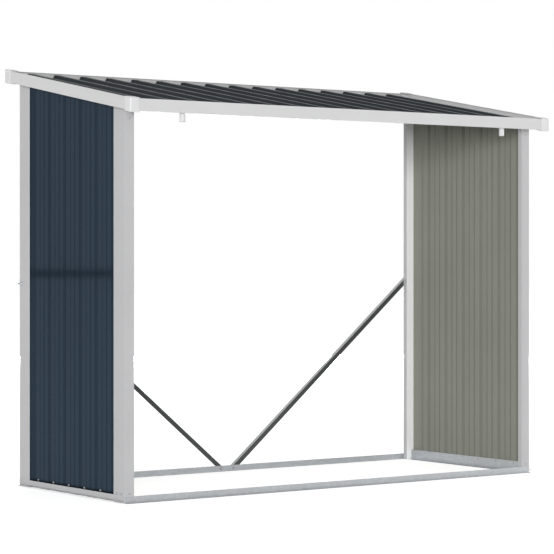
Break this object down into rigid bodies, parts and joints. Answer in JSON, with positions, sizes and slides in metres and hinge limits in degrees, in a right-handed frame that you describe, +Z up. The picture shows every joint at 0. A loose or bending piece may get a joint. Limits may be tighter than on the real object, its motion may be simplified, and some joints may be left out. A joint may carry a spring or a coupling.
{
  "type": "metal log store",
  "caption": "Open-fronted metal log store: ribbed side walls on folded corner posts, a single-pitch ribbed roof in pale trims with a drained front gutter, base rails and rear braces.",
  "frame": {"origin": "middle of the object's bounding box, on the floor", "axes": "+X to the right along the front, +Y from the low front eave to the high rear, +Z up"},
  "size_m": [2.104, 0.954, 1.6831],
  "materials": {
    "galvanised": "galvanised steel with a fine spangle",
    "pale_paint": "satin pale grey paint",
    "white_paint": "satin off-white paint",
    "slate_paint": "semi-gloss slate paint outside, bare grey-green primer inside",
    "charcoal_paint": "semi-gloss charcoal paint",
    "white_plastic": "moulded white plastic"
  },
  "bodies": {
    "root": {"front_rail_left": "galvanised", "front_rail_right": "galvanised", "front_rail_splice": "galvanised", "rear_rail_left": "galvanised", "rear_rail_right": "galvanised", "rear_rail_splice": "galvanised", "left_rail": "pale_paint", "right_rail": "pale_paint", "front_left_post": "pale_paint", "front_right_post": "pale_paint", "rear_left_post": "pale_paint", "rear_right_post": "pale_paint", "left_wall_sheet": "slate_paint", "right_wall_sheet": "slate_paint", "left_foot_rail": "galvanised", "right_foot_rail": "galvanised", "left_top_rail": "galvanised", "right_top_rail": "galvanised", "front_beam": "galvanised", "rear_beam": "galvanised", "roof_sheet_1": "charcoal_paint", "roof_sheet_2": "charcoal_paint", "roof_sheet_3": "charcoal_paint", "roof_sheet_4": "charcoal_paint", "gutter": "white_paint", "rear_trim": "white_paint", "left_trim": "white_paint", "right_trim": "white_paint", "front_left_cap": "white_plastic", "front_right_cap": "white_plastic", "rear_left_cap": "white_plastic", "rear_right_cap": "white_plastic", "left_spout": "white_plastic", "right_spout": "white_plastic", "left_brace": "pale_paint", "right_brace": "pale_paint"}
  },
  "joints": []
}
